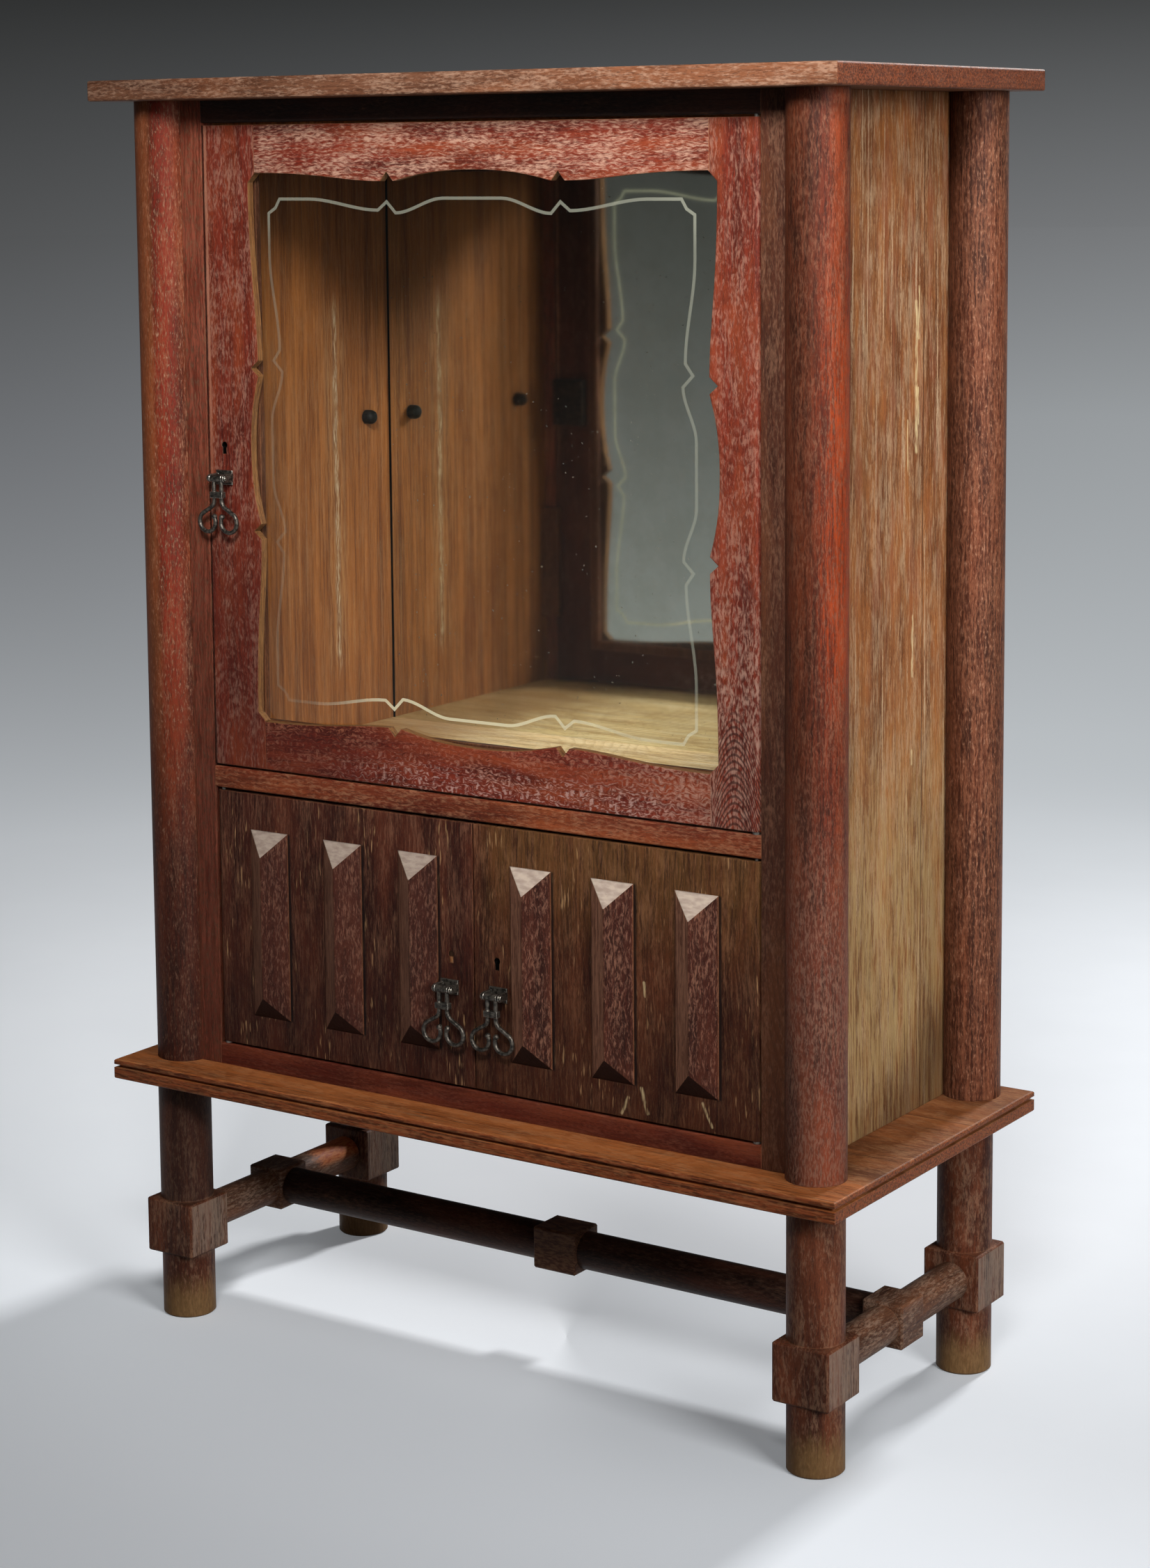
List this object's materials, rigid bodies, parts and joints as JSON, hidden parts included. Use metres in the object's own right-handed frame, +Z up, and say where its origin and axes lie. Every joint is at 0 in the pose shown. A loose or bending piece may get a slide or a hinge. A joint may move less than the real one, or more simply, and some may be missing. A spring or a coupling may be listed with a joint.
{
  "type": "display cabinet",
  "caption": "Limed oak display cabinet: glazed door with scalloped opening and mirrored back above slab doors with hipped bars, between round columns on a stretchered stand.",
  "frame": {"origin": "centre of the boards' outline, on the floor", "axes": "+Z up, front with the doors faces -Y, +X towards the hinge side of the glazed door"},
  "size_m": [1, 0.475, 1.5],
  "materials": {
    "red_oak": "limed, waxed",
    "brown_oak": "limed, waxed",
    "golden_oak": "limed, dry",
    "ebonised_wood": "satin",
    "black_iron": "forged, worn",
    "steel": "dull",
    "glass": "clear",
    "mirror": "old silvering"
  },
  "bodies": {
    "carcase": {"back_planks": "golden_oak", "back_screws": "steel", "bottom_rail": "red_oak", "cleat_screws": "steel", "column_front_left": "red_oak", "column_front_right": "red_oak", "column_rear_left": "red_oak", "column_rear_right": "red_oak", "display_floor": "golden_oak", "door_stops": "golden_oak", "floor_cleats": "golden_oak", "frieze_rail": "red_oak", "front_stile_left": "red_oak", "front_stile_right": "red_oak", "leg_front_left": "red_oak", "leg_front_right": "red_oak", "leg_rear_left": "red_oak", "leg_rear_right": "red_oak", "long_stretcher": "brown_oak", "mid_board": "brown_oak", "middle_rail": "red_oak", "mirror": "mirror", "pivot_pins": "steel", "pivot_washers": "steel", "rear_battens": "golden_oak", "shelf_pegs": "ebonised_wood", "side_panel_left": "golden_oak", "side_panel_right": "golden_oak", "side_stretcher_left": "brown_oak", "side_stretcher_right": "brown_oak", "top_board": "brown_oak"},
    "upper_door": {"upper_lock_stile": "red_oak", "upper_hinge_stile": "red_oak", "upper_door_top_rail": "red_oak", "upper_door_bottom_rail": "red_oak", "upper_door_glass": "glass", "glazing_beads": "golden_oak", "upper_lock_case": "steel", "upper_lock_screws": "steel", "upper_pull_bracket": "black_iron", "upper_pull_pin": "black_iron"},
    "lower_left_door": {"lower_left_slab": "brown_oak", "lower_left_bars": "brown_oak", "lower_left_pull_bracket": "black_iron", "lower_left_pull_pin": "black_iron", "floor_bolt_plate": "steel", "floor_bolt_screws": "steel", "keyhole_plug": "golden_oak"},
    "lower_right_door": {"lower_right_slab": "brown_oak", "lower_right_bars": "brown_oak", "lower_right_pull_bracket": "black_iron", "lower_right_pull_pin": "black_iron", "lower_lock_case": "steel", "lower_lock_screws": "steel"},
    "upper_pull": {"upper_pull": "black_iron"},
    "lower_left_pull": {"lower_left_pull": "black_iron"},
    "lower_right_pull": {"lower_right_pull": "black_iron"},
    "upper_lock_bolt": {"upper_lock_bolt": "steel"},
    "lower_lock_bolt": {"lower_lock_bolt": "steel"},
    "floor_bolt": {"floor_bolt_rod": "steel"}
  },
  "joints": [
    {"name": "upper_door_hinge", "type": "hinge", "parent": "carcase", "child": "upper_door", "pos_m": [0.3695, -0.174, 1.07], "axis": [0, 0, 1], "range_deg": [0, 105]},
    {"name": "lower_left_door_hinge", "type": "hinge", "parent": "carcase", "child": "lower_left_door", "pos_m": [-0.3695, -0.174, 0.507], "axis": [0, 0, -1], "range_deg": [0, 105]},
    {"name": "lower_right_door_hinge", "type": "hinge", "parent": "carcase", "child": "lower_right_door", "pos_m": [0.3695, -0.174, 0.507], "axis": [0, 0, 1], "range_deg": [0, 105]},
    {"name": "upper_pull_swing", "type": "hinge", "parent": "upper_door", "child": "upper_pull", "pos_m": [-0.352, -0.1945, 1.037], "axis": [-1, 0, 0], "range_deg": [0, 80]},
    {"name": "lower_left_pull_swing", "type": "hinge", "parent": "lower_left_door", "child": "lower_left_pull", "pos_m": [-0.034, -0.1945, 0.468], "axis": [-1, 0, 0], "range_deg": [0, 80]},
    {"name": "lower_right_pull_swing", "type": "hinge", "parent": "lower_right_door", "child": "lower_right_pull", "pos_m": [0.034, -0.1945, 0.468], "axis": [-1, 0, 0], "range_deg": [0, 80]},
    {"name": "upper_lock_bolt_slide", "type": "slide", "parent": "upper_door", "child": "upper_lock_bolt", "axis": [-1, 0, 0], "range_m": [0, 0.01]},
    {"name": "lower_lock_bolt_slide", "type": "slide", "parent": "lower_right_door", "child": "lower_lock_bolt", "axis": [-1, 0, 0], "range_m": [0, 0.01]},
    {"name": "floor_bolt_slide", "type": "slide", "parent": "lower_left_door", "child": "floor_bolt", "axis": [0, 0, -1], "range_m": [0, 0.012]}
  ]
}
